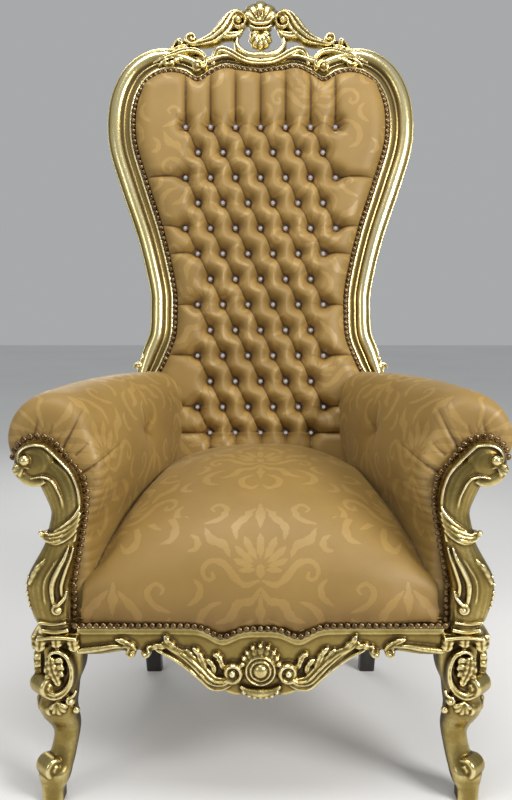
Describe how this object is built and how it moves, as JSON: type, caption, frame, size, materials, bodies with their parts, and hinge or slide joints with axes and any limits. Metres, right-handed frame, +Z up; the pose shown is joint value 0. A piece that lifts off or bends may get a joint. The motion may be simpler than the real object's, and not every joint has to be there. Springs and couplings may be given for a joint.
{
  "type": "baroque throne armchair",
  "caption": "Tall carved and gilded baroque throne: waisted deep-buttoned back with a pierced crest, rolled padded arms, domed seat and cabriole front legs.",
  "frame": {"origin": "centre of the object's box at the floor, under the middle of the seat", "axes": "+Z up, the chair faces -Y, +X is to the right of someone who looks at its front"},
  "size_m": [0.9988, 0.8658, 1.8111],
  "materials": {
    "gilt_wood": "carved wood with bright pale gold leaf, darker in the recesses",
    "black_lacquer": "satin black painted wood",
    "damask": "golden satin damask with a tone-on-tone scroll pattern"
  },
  "bodies": {
    "root": {"back_frame": "gilt_wood", "seat_rail_front": "gilt_wood", "seat_rail_left": "gilt_wood", "seat_rail_right": "gilt_wood", "seat_rail_back": "gilt_wood", "front_leg_left": "gilt_wood", "front_leg_right": "gilt_wood", "rear_leg_left": "black_lacquer", "rear_leg_right": "black_lacquer", "arm_support_left": "gilt_wood", "arm_support_right": "gilt_wood", "seat_cushion": "damask", "back_cushion": "damask", "arm_left": "damask", "arm_right": "damask", "back_panel": "damask"}
  },
  "joints": []
}
